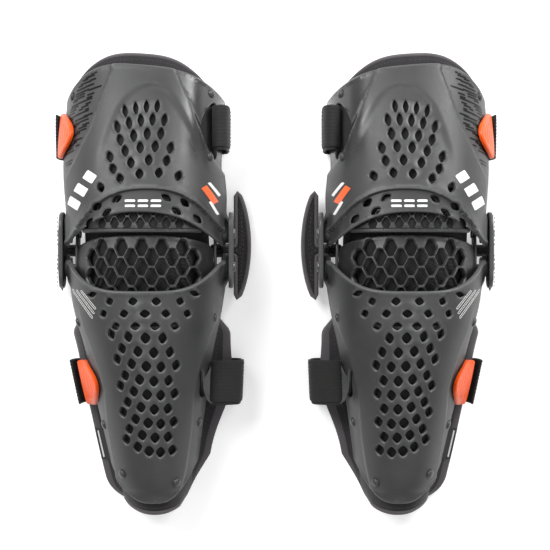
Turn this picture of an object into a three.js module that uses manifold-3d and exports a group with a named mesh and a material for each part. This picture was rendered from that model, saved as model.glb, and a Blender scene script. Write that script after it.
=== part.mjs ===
// A pair of motorcycle knee and shin guards. Each guard has a thigh shell and a shin shell over
// foam liners, a patella cup between them on two side links, and two straps with hook clips.
// Millimetres, +Z up. The guards lie on their backs: +Y is the thigh end, +Z is the front of the leg,
// and the right guard is at -X. Z = 0 is the surface that they lie on.
import * as THREE from "three";
import { mergeVertices } from "three/addons/utils/BufferGeometryUtils.js";
import Module from "manifold-3d";

const wasm = await Module();
wasm.setup();

// ---- Driving dimensions ----
const GUARD_SPACING = 243; // between the middles of the two guards
const GAP = 0.3; // between pieces that touch

// Sections of the outer surface, from the shin end to the thigh end. Each is a superellipse arch
// with its feet at Z = 0: where it is along Y, its middle in X, half width, crown height and squareness.
const SECTIONS = [
  { y: -214, middle: 9, half: 33.5, crown: 60, square: 2.2 },
  { y: -160, middle: 5.5, half: 43, crown: 76, square: 2.2 },
  { y: -110, middle: 4, half: 52.5, crown: 92, square: 2.3 },
  { y: -60, middle: 2.5, half: 61.5, crown: 106, square: 2.5 },
  { y: -20, middle: 1, half: 70.5, crown: 115, square: 2.8 },
  { y: 20, middle: 1, half: 75, crown: 117, square: 2.8 },
  { y: 60, middle: -0.5, half: 75.5, crown: 113, square: 2.8 },
  { y: 110, middle: -5, half: 75, crown: 100, square: 2.5 },
  { y: 165, middle: -2, half: 75.5, crown: 84, square: 2.4 },
  { y: 214, middle: -2, half: 72, crown: 66, square: 2.4 },
];

const SHELL = 3; // thickness of the hard shells
const LINER_TOP = SHELL + 0.9; // the liners' depths below the outer surface
const LINER_BACK = 11;
const SHELL_RIM = THREE.MathUtils.degToRad(83); // how far round the arch the shells reach
const LINER_RIM = THREE.MathUtils.degToRad(87.5);
// Where the shin shell's rim draws in.
const WAIST = { drawIn: THREE.MathUtils.degToRad(8), at: 0.58, reach: 0.25 };

// The knee opening and the hinges
const HINGE_MIDDLE = 1; // middle of the hinge, in X
const LOWER_PIVOT = 16;
const UPPER_PIVOT = 47;
const PIVOT_Z = 45;
const EAR = 12; // radius of the shells' ears about the pivots
const NOTCH_SLOPE = 1.15; // how fast the shells' edges run away behind the pivots
const BROW = { crown: 64.5, drop: 31.5, power: 2.5 }; // upper edge of the knee opening
const SILL = { crown: -6, rise: 33, power: 4 }; // lower edge of the knee opening
const LINK = { inner: 76.4, thick: 4.2, radius: 14, overhang: 6 };
const BOSS = { radius: 9, inner: 69.5 };
const PIN = { shank: 2.6, hole: 3, head: 5, headHeight: 1.8, tail: 4.5, tailHeight: 1.5 };
const CHEEK = { inner: 62.6, outer: 65.1, radius: 9, top: 20, from: 12, to: 34 };
const CUP = { gap: 5, thick: 3, side: 0.93, low: 0.62, high: 0.88, top: 44.5, drop: 7, dropAt: 58 };
const KNEE_PAD = { front: 16.5, back: 22.5, low: -10, side: 6, high: 62 };
const PANEL = { front: 5, back: 8, low: 46.5, high: 80, side: 60 };
// The wings lie on one slope that falls outwards behind the links: a neck from the pad's rim, and a lens
// between two places along Y that stands out from the root.
const WING = { root: 80, rootZ: 21, slope: 0.5, thick: 6, least: 2, neck: 60, neckFrom: 25, neckTo: 38 };
const MEDIAL_WING = { side: 1, reach: 14, from: -14, to: 86 };
const LATERAL_WING = { side: -1, reach: 3, from: -6, to: 68 };

// The straps: the middle of their width along Y, their medial slot, and how far out their sides run.
// The slant carries a strap that much further up the leg for each millimetre towards the medial side.
// A clip's foot stands off the shell by its flare.
const STRAP = { thick: 2.2, width: 42, bend: 7, medialTaper: 0.15 };
const UPPER = {
  y: 142,
  slant: 0.042,
  slot: { x: 65.5, z: 58 },
  right: 76,
  left: -81.5,
  shoulder: 40,
  top: 23.5,
  flare: 1.5,
};
const LOWER = {
  y: -92,
  slant: 0,
  slot: { x: 54, z: 48 },
  right: 86.6,
  left: -62.5,
  shoulder: 34,
  top: 26,
  flare: 7,
};
const CLIP = { length: 42, front: -4.6, back: -1.4, low: 76, reach: 26, tip: 7 };

// The shin liner's rim flares outwards down the leg, more under the lower strap on the medial side, and
// draws in again to the round tip: evenly on the medial side, and later and faster on the lateral side.
const FLARE = { start: 83.2, even: 10.5, from: -22, full: -48 };
const FLARE_BULGE = { most: 8, y: -96, reach: 38 };
const FLARE_TIP = { medialFrom: -163, medial: 0.36, lateralFrom: -183, lateral: 0.019 };

const RIVET = { radius: 4, height: 1.6, sides: 8 };

const MATERIALS = {
  shell: new THREE.MeshStandardMaterial({ color: 0x494b4c, roughness: 0.62 }),
  liner: new THREE.MeshStandardMaterial({ color: 0x3a363a, roughness: 0.95 }),
  mesh: new THREE.MeshStandardMaterial({ color: 0x2c2c2e, roughness: 0.7 }),
  hinge: new THREE.MeshStandardMaterial({ color: 0x3f4041, roughness: 0.5 }),
  metal: new THREE.MeshStandardMaterial({ color: 0x6c6d70, roughness: 0.4, metalness: 0.8 }),
  strap: new THREE.MeshStandardMaterial({ color: 0x232322, roughness: 0.9 }),
  clip: new THREE.MeshStandardMaterial({ color: 0xff5a28, roughness: 0.35 }),
};

// ---- The guard's outer surface ----

// One value of the sections, smooth along Y.
function along(y, value) {
  let i = 0;
  while (i < SECTIONS.length - 2 && SECTIONS[i + 1].y < y) i += 1;
  const [a, b] = [SECTIONS[i], SECTIONS[i + 1]];
  const before = SECTIONS[Math.max(i - 1, 0)];
  const after = SECTIONS[Math.min(i + 2, SECTIONS.length - 1)];
  const t = (y - a.y) / (b.y - a.y);
  const step = b.y - a.y;
  const slopeA = ((b[value] - before[value]) / (b.y - before.y)) * step;
  const slopeB = ((after[value] - a[value]) / (after.y - a.y)) * step;
  return (
    a[value] * (1 + 2 * t) * (1 - t) ** 2 +
    slopeA * t * (1 - t) ** 2 +
    b[value] * t * t * (3 - 2 * t) +
    slopeB * t * t * (t - 1)
  );
}

// The point at Y, a turn round the arch from the crown (towards +X when positive), at a depth.
function onArch(y, turn, depth) {
  const power = 2 / along(y, "square");
  const sideways = Math.sign(turn) * Math.abs(Math.sin(turn)) ** power;
  return new THREE.Vector3(
    along(y, "middle") + sideways * (along(y, "half") - depth),
    y,
    Math.cos(turn) ** power * (along(y, "crown") - depth),
  );
}

// Across and height of the arch at the knee, for the edges that belong to the hinge.
const KNEE_POWER = 2 / 2.8;
const KNEE_CROWN = 115;
const KNEE_HALF = 74;
const kneeAcross = (turn) => Math.abs(Math.sin(turn)) ** KNEE_POWER;
const kneeHeight = (turn) => KNEE_CROWN * Math.cos(turn) ** KNEE_POWER;

// ---- Solids ----

// A closed slab between two grids of points, front(u, v) and back(u, v), with u and v from the lists.
function slab(us, vs, front, back) {
  const points = [];
  for (const face of [front, back]) {
    for (const v of vs) {
      for (const u of us) points.push(...face(u, v).toArray());
    }
  }
  const columns = us.length;
  const rows = vs.length;
  const at = (i, j, layer) => layer * columns * rows + j * columns + i;
  const triangles = [];
  const quad = (a, b, c, d) => triangles.push(a, b, c, a, c, d);
  for (let j = 0; j < rows - 1; j += 1) {
    for (let i = 0; i < columns - 1; i += 1) {
      quad(at(i, j, 0), at(i + 1, j, 0), at(i + 1, j + 1, 0), at(i, j + 1, 0));
      quad(at(i, j, 1), at(i, j + 1, 1), at(i + 1, j + 1, 1), at(i + 1, j, 1));
    }
  }
  for (let i = 0; i < columns - 1; i += 1) {
    quad(at(i, 0, 1), at(i + 1, 0, 1), at(i + 1, 0, 0), at(i, 0, 0));
    quad(at(i + 1, rows - 1, 1), at(i, rows - 1, 1), at(i, rows - 1, 0), at(i + 1, rows - 1, 0));
  }
  for (let j = 0; j < rows - 1; j += 1) {
    quad(at(0, j + 1, 1), at(0, j, 1), at(0, j, 0), at(0, j + 1, 0));
    quad(at(columns - 1, j, 1), at(columns - 1, j + 1, 1), at(columns - 1, j + 1, 0), at(columns - 1, j, 0));
  }
  const geometry = new THREE.BufferGeometry();
  geometry.setAttribute("position", new THREE.Float32BufferAttribute(points, 3));
  geometry.setIndex(triangles);
  return geometry;
}

const even = (from, to, steps) => Array.from({ length: steps + 1 }, (_, i) => from + ((to - from) * i) / steps);

// Shares of the way from the crown to the rim on both sides, closer together round the hinges.
const HALF_ROUND = [0.2, 0.38, 0.52, 0.63, 0.71, 0.78, 0.84, 0.9, 0.95, 1];
const ROUND = [...HALF_ROUND.map((share) => -share).reverse(), 0, ...HALF_ROUND];

// A part of the arch between two depths, from its low edge to its high edge, both functions of the turn.
// The rim may draw in part of the way along.
function skin({ rim, low, high, front, back, rows, spread = () => 0, drawIn = () => 0 }) {
  const face = (depth) => (share, v) => {
    const turn = share * (rim - drawIn(v));
    const point = onArch(low(turn) + (high(turn) - low(turn)) * v, turn, depth);
    point.x += spread(turn, point.y);
    return point;
  };
  return slab(ROUND, even(0, 1, rows), face(front), face(back));
}

function toSolid(geometry) {
  const bare = geometry.clone();
  bare.deleteAttribute("normal");
  bare.deleteAttribute("uv");
  const merged = mergeVertices(bare, 1e-4);
  return new wasm.Manifold(
    new wasm.Mesh({
      numProp: 3,
      vertProperties: merged.attributes.position.array,
      triVerts: new Uint32Array(merged.index.array),
    }),
  );
}

function fromSolid(solid) {
  const mesh = solid.getMesh();
  const geometry = new THREE.BufferGeometry();
  geometry.setAttribute("position", new THREE.BufferAttribute(mesh.vertProperties, 3));
  geometry.setIndex(new THREE.BufferAttribute(mesh.triVerts, 1));
  return geometry;
}

// A disc or rod along X between two places.
function rodAlongX(radius, from, to, y, z, sides = 16) {
  const rod = new THREE.CylinderGeometry(radius, radius, Math.abs(to - from), sides);
  rod.rotateZ(Math.PI / 2);
  return rod.translate((from + to) / 2, y, z);
}

// A flat plate across X from an outline in Y and Z.
function plateAlongX(outline, from, thick, bevel = 0) {
  const plate = new THREE.ExtrudeGeometry(outline, {
    depth: thick - 2 * bevel,
    bevelEnabled: bevel > 0,
    bevelThickness: bevel,
    bevelSize: bevel,
    bevelOffset: -bevel,
    bevelSegments: 1,
    curveSegments: 6,
  });
  // The outline's X and Y become Y and Z, and the extrusion runs along X.
  plate.applyMatrix4(new THREE.Matrix4().set(0, 0, 1, from + bevel, 1, 0, 0, 0, 0, 1, 0, 0, 0, 0, 0, 1));
  return plate;
}

// ---- Hard shells ----

function browEdge(turn) {
  const below = PIVOT_Z - kneeHeight(turn);
  if (below < 0) return BROW.crown - BROW.drop * kneeAcross(turn) ** BROW.power;
  if (below < EAR) return UPPER_PIVOT - Math.sqrt(EAR ** 2 - below ** 2);
  return UPPER_PIVOT + (below - EAR) * NOTCH_SLOPE;
}

function sillEdge(turn) {
  const below = PIVOT_Z - kneeHeight(turn);
  if (below < 0) return SILL.crown + SILL.rise * kneeAcross(turn) ** SILL.power;
  if (below < EAR) return LOWER_PIVOT + Math.sqrt(EAR ** 2 - below ** 2);
  return LOWER_PIVOT - (below - EAR) * NOTCH_SLOPE;
}

// How far across the arch a turn has gone, -1 to 1, for the edges away from the knee.
const across = (turn) => Math.sign(turn) * Math.abs(Math.sin(turn)) ** 0.8;

const thighTop = (turn) => 201 - 6 * across(turn) - (turn > 0 ? 22 : 36) * Math.abs(across(turn)) ** 3.7;
const thighLinerTop = (turn) => 214 - 4 * across(turn) - 42 * Math.abs(across(turn)) ** 3.5;
const shinTip = (turn) => -204.5 + 38 * Math.abs(across(turn)) ** 3.4;
const shinLinerTip = (turn) => -214 + 10 * Math.abs(across(turn)) ** 3;

// Bosses with flat faces round a pivot, and the hole for its pin.
function withHingeBosses(shell, pivotY) {
  let solid = toSolid(shell);
  for (const side of [-1, 1]) {
    const x = (distance) => HINGE_MIDDLE + side * distance;
    const outer = LINK.inner - GAP;
    solid = solid.add(toSolid(rodAlongX(BOSS.radius, x(BOSS.inner), x(outer), pivotY, PIVOT_Z, 12)));
    solid = solid.subtract(toSolid(rodAlongX(PIN.hole, x(BOSS.inner - 9), x(outer + 1), pivotY, PIVOT_Z, 8)));
  }
  return solid;
}

// The slot that a strap comes out of, through the medial flank.
function strapSlot({ y, slot }) {
  return toSolid(new THREE.BoxGeometry(30, STRAP.width + 4, 7).translate(slot.x, y, slot.z));
}

function thighShell() {
  const arch = skin({ rim: SHELL_RIM, low: browEdge, high: thighTop, front: 0, back: SHELL, rows: 9 });
  return fromSolid(withHingeBosses(arch, UPPER_PIVOT).subtract(strapSlot(UPPER)));
}

function shinShell() {
  const drawIn = (v) => WAIST.drawIn * Math.exp(-(((v - WAIST.at) / WAIST.reach) ** 2));
  const arch = skin({ rim: SHELL_RIM, low: shinTip, high: sillEdge, front: 0, back: SHELL, rows: 12, drawIn });
  return fromSolid(withHingeBosses(arch, LOWER_PIVOT).subtract(strapSlot(LOWER)));
}

// The honeycomb panel with its lip, behind the brow.
function meshPanel() {
  const face = (depth) => (x, y) => {
    const turn = Math.asin((Math.abs(x) / along(y, "half")) ** (along(y, "square") / 2));
    return onArch(y, Math.sign(x) * turn, depth);
  };
  const across = even(-PANEL.side, PANEL.side, 12);
  return slab(across, even(PANEL.low, PANEL.high, 3), face(PANEL.front), face(PANEL.back));
}

// ---- The knee: everything on the links turns about the pivots ----

// A point of a dome that turns about the lower pivot's axis, at a share of the width and an angle round it.
function onDome(share, degrees, depth) {
  const turn = Math.asin(Math.abs(share) ** (1 / KNEE_POWER));
  const radius = kneeHeight(turn) - PIVOT_Z - CUP.gap - depth;
  const angle = THREE.MathUtils.degToRad(degrees);
  return new THREE.Vector3(
    HINGE_MIDDLE + share * (KNEE_HALF - CUP.gap - depth),
    LOWER_PIVOT + radius * Math.sin(angle),
    PIVOT_Z + radius * Math.cos(angle),
  );
}

// The flat cheek inside the shells that carries the cup on both pins.
function cheek(side) {
  const { inner, outer, radius, top, from, to } = CHEEK;
  const outline = new THREE.Shape();
  outline.absarc(LOWER_PIVOT, PIVOT_Z, radius, Math.PI, 1.5 * Math.PI);
  outline.absarc(UPPER_PIVOT, PIVOT_Z, radius, 1.5 * Math.PI, 2.4 * Math.PI);
  outline.lineTo(to, PIVOT_Z + top);
  outline.lineTo(from, PIVOT_Z + top);
  const start = side > 0 ? HINGE_MIDDLE + inner : HINGE_MIDDLE - outer;
  return toSolid(plateAlongX(outline, start, outer - inner));
}

// The cup's edges run round the dome, and its upper one nearly straight across under the brow.
function patellaCup() {
  const { side: reach, thick } = CUP;
  const face = (depth) => (share, v) => {
    const radius = kneeHeight(Math.asin(Math.abs(share) ** (1 / KNEE_POWER))) - PIVOT_Z - CUP.gap;
    const straight = CUP.top - CUP.drop * ((Math.abs(share) * KNEE_HALF) / CUP.dropAt) ** 3 - LOWER_PIVOT;
    const low = -Math.asin(CUP.low);
    const high = Math.asin(Math.min(straight / radius, CUP.high));
    return onDome(share, THREE.MathUtils.radToDeg(low + (high - low) * v), depth);
  };
  let solid = toSolid(slab(even(-reach, reach, 14), even(0, 1, 6), face(0), face(thick)));
  for (const side of [-1, 1]) {
    solid = solid.add(cheek(side));
    for (const y of [LOWER_PIVOT, UPPER_PIVOT]) {
      const [from, to] = [HINGE_MIDDLE + side * (CHEEK.inner - 4), HINGE_MIDDLE + side * (CHEEK.outer + 4)];
      solid = solid.subtract(toSolid(rodAlongX(PIN.hole, from, to, y, PIVOT_Z, 8)));
    }
  }
  return fromSolid(solid);
}

// The foam arch behind the cup, inside the ends of both liners.
function kneePad() {
  const { front, back, low, side, high } = KNEE_PAD;
  const lowEdge = (turn) => low + (side - low) * kneeAcross(turn) ** 4;
  return skin({ rim: THREE.MathUtils.degToRad(80), low: lowEdge, high: () => high, front, back, rows: 4 });
}

function hingeLink(side) {
  const outline = new THREE.Shape();
  outline.absarc(LOWER_PIVOT - LINK.overhang, PIVOT_Z, LINK.radius, 0.5 * Math.PI, 1.5 * Math.PI);
  outline.absarc(UPPER_PIVOT + LINK.overhang, PIVOT_Z, LINK.radius, 1.5 * Math.PI, 2.5 * Math.PI);
  const from = side > 0 ? HINGE_MIDDLE + LINK.inner : HINGE_MIDDLE - LINK.inner - LINK.thick;
  let solid = toSolid(plateAlongX(outline, from, LINK.thick, 1.2));
  for (const y of [LOWER_PIVOT, UPPER_PIVOT]) {
    solid = solid.subtract(toSolid(rodAlongX(PIN.hole, from - 2, from + LINK.thick + 2, y, PIVOT_Z, 8)));
  }
  return fromSolid(solid);
}

// A headed pin through the link, the shell's boss and the cup's cheek, set along its side's outward X.
function hingePin(side, y) {
  const outer = LINK.inner + LINK.thick + GAP;
  const inner = CHEEK.inner - GAP;
  const profile = [
    [0, inner - PIN.tailHeight],
    [PIN.tail, inner - PIN.tailHeight],
    [PIN.tail, inner],
    [PIN.shank, inner],
    [PIN.shank, outer],
    [PIN.head, outer],
    [PIN.head - 1.2, outer + PIN.headHeight],
    [0, outer + PIN.headHeight],
  ];
  const pin = new THREE.LatheGeometry(profile.map(([r, h]) => new THREE.Vector2(r, h)), 8);
  pin.rotateZ(-side * Math.PI / 2);
  return pin.translate(HINGE_MIDDLE, y, PIVOT_Z);
}

// A soft wing that reaches out of the knee pad behind a link and stands out beyond it.
function kneeWing({ side, reach, from, to }) {
  const point = (x, y, depth) =>
    new THREE.Vector3(HINGE_MIDDLE + side * x, y, WING.rootZ - WING.slope * (x - WING.root) - depth);
  const lens = (depth) => (u, v) => {
    const bulge = Math.sqrt(Math.max(0, 1 - (2 * v - 1) ** 2));
    const out = side > 0 ? u : 1 - u;
    return point(WING.root + (WING.least + (reach - WING.least) * bulge) * out, from + (to - from) * v, depth);
  };
  const neck = (depth) => (u, v) => {
    const out = side > 0 ? u : 1 - u;
    const x = WING.neck + (WING.root + 1 - WING.neck) * out;
    return point(x, WING.neckFrom + (WING.neckTo - WING.neckFrom) * v, depth);
  };
  const lensSolid = toSolid(slab(even(0, 1, 4), even(0, 1, 14), lens(0), lens(WING.thick)));
  return fromSolid(lensSolid.add(toSolid(slab([0, 1], [0, 1], neck(0), neck(WING.thick)))));
}

// ---- Straps and clips ----

// A band from its slot over the medial rim, across the back and up to the clip on the lateral side.
// It is drawn at the middle of its width, and then follows the taper of the leg.
function strap({ y, slant, slot, right, left, shoulder, top }) {
  const { thick, width, bend } = STRAP;
  const outline = new THREE.Shape();
  outline.moveTo(slot.x, slot.z);
  outline.lineTo(slot.x + 4, slot.z);
  outline.lineTo(right, shoulder);
  outline.lineTo(right, bend + thick);
  outline.absarc(right - bend, bend + thick, bend, 0, -Math.PI / 2, true);
  outline.absarc(left + bend, bend + thick, bend, -Math.PI / 2, -Math.PI, true);
  outline.lineTo(left, top);
  outline.lineTo(left - thick, top);
  outline.absarc(left + bend, bend + thick, bend + thick, Math.PI, 1.5 * Math.PI);
  outline.absarc(right - bend, bend + thick, bend + thick, 1.5 * Math.PI, 2 * Math.PI);
  outline.lineTo(right + thick, shoulder + thick / 2);
  outline.lineTo(slot.x + 5, slot.z + thick);
  outline.lineTo(slot.x, slot.z + thick);
  const band = new THREE.ExtrudeGeometry(outline, { depth: width, bevelEnabled: false, curveSegments: 4 });
  band.rotateX(Math.PI / 2);
  band.translate(0, y + width / 2, 0);
  const points = band.attributes.position;
  for (let i = 0; i < points.count; i += 1) {
    const x = points.getX(i);
    const share = x > 0 ? STRAP.medialTaper : 1;
    const taper = 1 + share * (along(points.getY(i), "half") / along(y, "half") - 1);
    points.setX(i, x * taper);
    points.setY(i, points.getY(i) + slant * x);
  }
  return band;
}

// A half-moon hook clip that lies on the lateral flank, its straight side at the strap's end.
function hookClip({ y, slant, left, flare }) {
  const { length, front, back, low, reach, tip } = CLIP;
  const face = (depth) => (u, v) => {
    const round = Math.sqrt(Math.max(0, 1 - (2 * v - 1) ** 2));
    const turn = low - (tip + (reach - tip) * round) * u;
    const standOff = flare * (1 - u) ** 2;
    return onArch(y + slant * left + length * (v - 0.5), -THREE.MathUtils.degToRad(turn), depth - standOff);
  };
  return slab(even(0, 1, 4), even(0, 1, 10), face(front), face(back));
}

// ---- Fasteners and trim ----

// A domed rivet standing square on the outer surface.
function rivet(y, turnDegrees) {
  const turn = THREE.MathUtils.degToRad(turnDegrees);
  const foot = onArch(y, turn, 0);
  const round = onArch(y, turn + 0.01, 0).sub(onArch(y, turn - 0.01, 0));
  const lengthways = onArch(y + 1, turn, 0).sub(onArch(y - 1, turn, 0));
  const outward = round.cross(lengthways).normalize();
  foot.addScaledVector(outward, GAP);
  const profile = [
    [0, 0],
    [RIVET.radius, 0],
    [RIVET.radius * 0.8, RIVET.height * 0.7],
    [0, RIVET.height],
  ];
  const head = new THREE.LatheGeometry(profile.map(([r, h]) => new THREE.Vector2(r, h)), RIVET.sides);
  head.applyQuaternion(new THREE.Quaternion().setFromUnitVectors(new THREE.Vector3(0, 1, 0), outward));
  return head.translate(foot.x, foot.y, foot.z);
}

const THIGH_RIVETS = { medial_top: [177, 55], medial_low: [117, 54], lateral: [175, -60] };
const SHIN_RIVETS = {
  medial_top: [-31, 63],
  lateral_top: [-35, -64],
  medial_mid: [-129, 66],
  lateral_mid: [-131, -62],
  medial_tip: [-182, 31],
  lateral_tip: [-174, -35],
};

// ---- One guard, as the right one, with +X towards the other leg ----

function guard(prefix) {
  const group = new THREE.Group();
  const add = (name, geometry, material) => {
    const mesh = new THREE.Mesh(geometry, MATERIALS[material]);
    mesh.name = prefix + "_" + name;
    group.add(mesh);
  };

  add("thigh_shell", thighShell(), "shell");
  add("thigh_mesh_panel", meshPanel(), "mesh");
  add(
    "thigh_liner",
    skin({
      rim: LINER_RIM,
      low: thighLinerLow,
      high: thighLinerTop,
      front: LINER_TOP,
      back: LINER_BACK,
      rows: 7,
    }),
    "liner",
  );
  add("patella_cup", patellaCup(), "mesh");
  add("knee_pad", kneePad(), "liner");
  add("medial_wing", kneeWing(MEDIAL_WING), "liner");
  add("lateral_wing", kneeWing(LATERAL_WING), "liner");
  add("shin_shell", shinShell(), "shell");
  add(
    "shin_liner",
    skin({
      rim: LINER_RIM,
      low: shinLinerTip,
      high: shinLinerTop,
      front: LINER_TOP,
      back: LINER_BACK,
      rows: 9,
      spread: shinFlare,
    }),
    "liner",
  );
  for (const [name, side] of [["medial", 1], ["lateral", -1]]) {
    add(name + "_hinge_link", hingeLink(side), "hinge");
    add(name + "_upper_hinge_pin", hingePin(side, UPPER_PIVOT), "metal");
    add(name + "_lower_hinge_pin", hingePin(side, LOWER_PIVOT), "metal");
  }
  for (const [name, place] of Object.entries({ upper: UPPER, lower: LOWER })) {
    add(name + "_strap", strap(place), "strap");
    add(name + "_clip", hookClip(place), "clip");
  }
  for (const [name, place] of Object.entries(THIGH_RIVETS)) {
    add("thigh_rivet_" + name, rivet(...place), "metal");
  }
  for (const [name, place] of Object.entries(SHIN_RIVETS)) {
    add("shin_rivet_" + name, rivet(...place), "metal");
  }
  return group;
}

// The liners' edges at the knee, clear of the cup, its cheeks and the notch behind the pivots.
function thighLinerLow(turn) {
  const below = Math.max(0, PIVOT_Z - kneeHeight(turn));
  return 92 - 24 * kneeAcross(turn) ** 4 + below * NOTCH_SLOPE;
}

function shinLinerTop(turn) {
  const below = Math.max(0, PIVOT_Z - kneeHeight(turn));
  return -40 + 38 * kneeAcross(turn) ** 4 - below * NOTCH_SLOPE;
}

// How far the shin liner's rim stands out sideways.
function shinFlare(turn, y) {
  const start = THREE.MathUtils.degToRad(FLARE.start);
  const share = Math.max(0, (Math.abs(turn) - start) / (LINER_RIM - start));
  const even = FLARE.even * THREE.MathUtils.smoothstep(-y, -FLARE.from, -FLARE.full);
  const bulge = FLARE_BULGE.most * Math.exp(-(((y - FLARE_BULGE.y) / FLARE_BULGE.reach) ** 2));
  const medial = even + bulge - FLARE_TIP.medial * Math.max(0, FLARE_TIP.medialFrom - y);
  const lateral = even - FLARE_TIP.lateral * Math.max(0, FLARE_TIP.lateralFrom - y) ** 2;
  return turn > 0 ? medial * share : -lateral * share;
}

// ---- The pair ----

const rightGuard = guard("right");
rightGuard.position.x = -GUARD_SPACING / 2;
const leftGuard = guard("left");
leftGuard.position.x = GUARD_SPACING / 2;
leftGuard.scale.x = -1;

const pair = new THREE.Group();
pair.add(rightGuard, leftGuard);

export default pair;
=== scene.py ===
"""Looks of a pair of motorcycle knee and shin guards: vented shells, honeycomb cups, padded liners.

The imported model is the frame. Every piece is drawn once, as the right guard's, in millimetres about
that guard's own middle, and placed twice: as it is, and mirrored for the left guard.
"""

import math

import bpy
import numpy as np
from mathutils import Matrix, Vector
from mathutils.geometry import delaunay_2d_cdt


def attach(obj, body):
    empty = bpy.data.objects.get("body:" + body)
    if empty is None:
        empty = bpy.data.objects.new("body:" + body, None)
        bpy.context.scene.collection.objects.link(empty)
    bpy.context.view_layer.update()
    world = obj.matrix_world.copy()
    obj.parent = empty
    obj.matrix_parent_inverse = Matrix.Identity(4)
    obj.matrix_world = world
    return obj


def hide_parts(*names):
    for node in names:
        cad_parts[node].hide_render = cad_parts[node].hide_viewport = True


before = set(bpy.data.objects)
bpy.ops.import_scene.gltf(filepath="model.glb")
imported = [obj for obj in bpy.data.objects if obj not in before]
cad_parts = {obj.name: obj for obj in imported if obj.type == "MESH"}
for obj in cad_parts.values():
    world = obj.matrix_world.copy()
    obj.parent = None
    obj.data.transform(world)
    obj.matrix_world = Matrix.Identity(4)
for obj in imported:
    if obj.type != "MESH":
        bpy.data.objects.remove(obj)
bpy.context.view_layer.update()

MM = 0.001
SIDES = ("right", "left")

# ---- Driving dimensions, the same as the model's ----
SPACING = 243.0
SECTIONS = {
    "y": [-214, -160, -110, -60, -20, 20, 60, 110, 165, 214],
    "middle": [9, 5.5, 4, 2.5, 1, 1, -0.5, -5, -2, -2],
    "half": [33.5, 43, 52.5, 61.5, 70.5, 75, 75.5, 75, 75.5, 72],
    "crown": [60, 76, 92, 106, 115, 117, 113, 100, 84, 66],
    "square": [2.2, 2.2, 2.3, 2.5, 2.8, 2.8, 2.8, 2.5, 2.4, 2.4],
}
SHELL = 3.0
SHELL_RIM = math.radians(83)
LINER_RIM = math.radians(87.5)
HINGE_MIDDLE, LOWER_PIVOT, UPPER_PIVOT, PIVOT_Z = 1.0, 16.0, 47.0, 45.0
EAR, NOTCH_SLOPE = 12.0, 1.15
KNEE_CROWN, KNEE_HALF, KNEE_POWER = 115.0, 74.0, 2 / 2.8
FLAT = 90.0  # millimetres across the flattened sheet for each radian round the arch


# ---- The guard's outer surface ----

def along(y, value):
    """One value of the sections at each Y, smooth between them."""
    ys, vs = np.array(SECTIONS["y"], float), np.array(SECTIONS[value], float)
    y = np.asarray(y, float)
    i = np.clip(np.searchsorted(ys, y, side="left") - 1, 0, len(ys) - 2)
    before, after = np.maximum(i - 1, 0), np.minimum(i + 2, len(ys) - 1)
    step = ys[i + 1] - ys[i]
    t = (y - ys[i]) / step
    slope_a = (vs[i + 1] - vs[before]) / (ys[i + 1] - ys[before]) * step
    slope_b = (vs[after] - vs[i]) / (ys[after] - ys[i]) * step
    return (vs[i] * (1 + 2 * t) * (1 - t) ** 2 + slope_a * t * (1 - t) ** 2
            + vs[i + 1] * t * t * (3 - 2 * t) + slope_b * t * t * (t - 1))


def on_arch(flat, depth):
    """Points of the guard from flattened places (round the arch, along Y) and depths below its surface."""
    turn, y = flat[:, 0] / FLAT, flat[:, 1]
    power = 2 / along(y, "square")
    sideways = np.sign(turn) * np.abs(np.sin(turn)) ** power
    x = along(y, "middle") + sideways * (along(y, "half") - depth)
    z = np.abs(np.cos(turn)) ** power * (along(y, "crown") - depth)
    return np.stack([x, y, z], 1)


def flattened(x, y):
    """Where a place seen from the front, at X and Y, lies on the flattened sheet."""
    x, y = np.broadcast_arrays(np.asarray(x, float), np.asarray(y, float))
    share = np.clip((x - along(y, "middle")) / along(y, "half"), -0.999, 0.999)
    turn = np.sign(share) * np.arcsin(np.abs(share) ** (along(y, "square") / 2))
    return np.stack([turn * FLAT, y], -1)


def knee_across(turn):
    return np.abs(np.sin(turn)) ** KNEE_POWER


def knee_height(turn):
    return KNEE_CROWN * np.abs(np.cos(turn)) ** KNEE_POWER


def across(turn):
    return np.sign(turn) * np.abs(np.sin(turn)) ** 0.8


def ramp(value, start, end):
    """0 before start, 1 after end, smooth between; the start may be the larger."""
    t = np.clip((value - start) / (end - start), 0, 1)
    return t * t * (3 - 2 * t)


# ---- Edges of the shells and liners, as Y for each turn round the arch ----

def ear_edge(turn, pivot, way, opening):
    """The knee opening's edge in front of a pivot, round its ear, and away behind it."""
    below = PIVOT_Z - knee_height(turn)
    ear = pivot - way * np.sqrt(np.clip(EAR ** 2 - below ** 2, 0, None))
    notch = pivot + way * (below - EAR) * NOTCH_SLOPE
    return np.where(below < 0, opening, np.where(below < EAR, ear, notch))


def brow_edge(turn):
    return ear_edge(turn, UPPER_PIVOT, 1, 64.5 - 31.5 * knee_across(turn) ** 2.5)


def sill_edge(turn):
    return ear_edge(turn, LOWER_PIVOT, -1, -6 + 33 * knee_across(turn) ** 4)


def thigh_top(turn):
    drop = np.where(turn > 0, 22, 36)
    return 201 - 6 * across(turn) - drop * np.abs(across(turn)) ** 3.7


def shin_tip(turn):
    return -202.5 + 36 * np.abs(across(turn)) ** 3.6


def thigh_liner_top(turn):
    return 210 - 4 * across(turn) - 40 * np.abs(across(turn)) ** 3.2


def thigh_liner_low(turn):
    return 92 - 24 * knee_across(turn) ** 4 + np.clip(PIVOT_Z - knee_height(turn), 0, None) * NOTCH_SLOPE


def shin_liner_tip(turn):
    return -211 + 9.5 * np.abs(across(turn)) ** 2.6


def shin_liner_top(turn):
    return -40 + 38 * knee_across(turn) ** 4 - np.clip(PIVOT_Z - knee_height(turn), 0, None) * NOTCH_SLOPE


# ---- Flat outlines ----

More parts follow.
